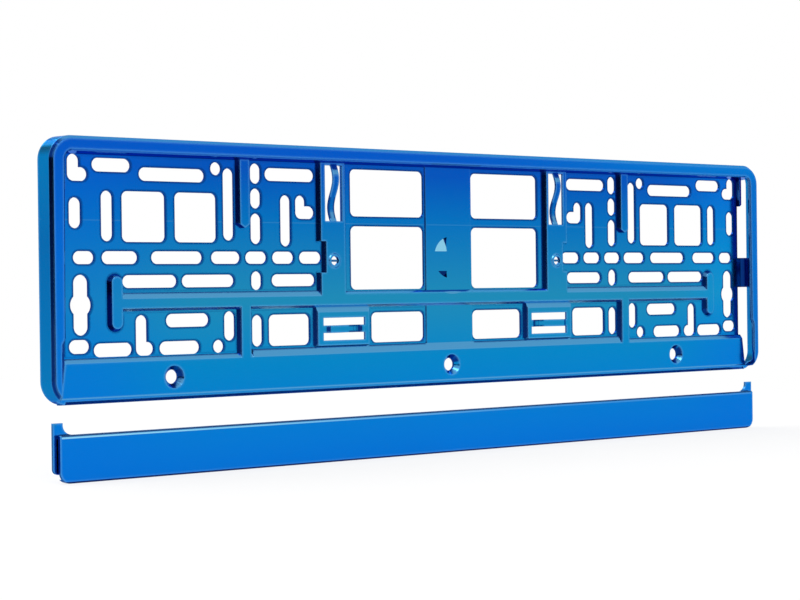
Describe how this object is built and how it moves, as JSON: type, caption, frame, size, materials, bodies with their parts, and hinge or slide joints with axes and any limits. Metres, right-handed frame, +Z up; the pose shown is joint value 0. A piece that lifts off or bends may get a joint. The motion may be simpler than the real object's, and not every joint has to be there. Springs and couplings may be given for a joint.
{
  "type": "number plate holder",
  "caption": "Glossy moulded surround for a long vehicle plate, with a slotted back panel, a screwed ledge and a separate clip-on cover strip.",
  "frame": {"origin": "centre of the middle screw hole, on the flat back face of the holder", "axes": "+X along the holder, +Z up, and the front of the holder faces -Y, which is the way the screws go in from"},
  "size_m": [0.533, 0.0108, 0.1752],
  "materials": {
    "frame_plastic": "high gloss metallic blue",
    "strip_plastic": "high gloss metallic blue"
  },
  "bodies": {
    "root": {"holder_frame": "frame_plastic", "clip_strip": "strip_plastic"}
  },
  "joints": []
}
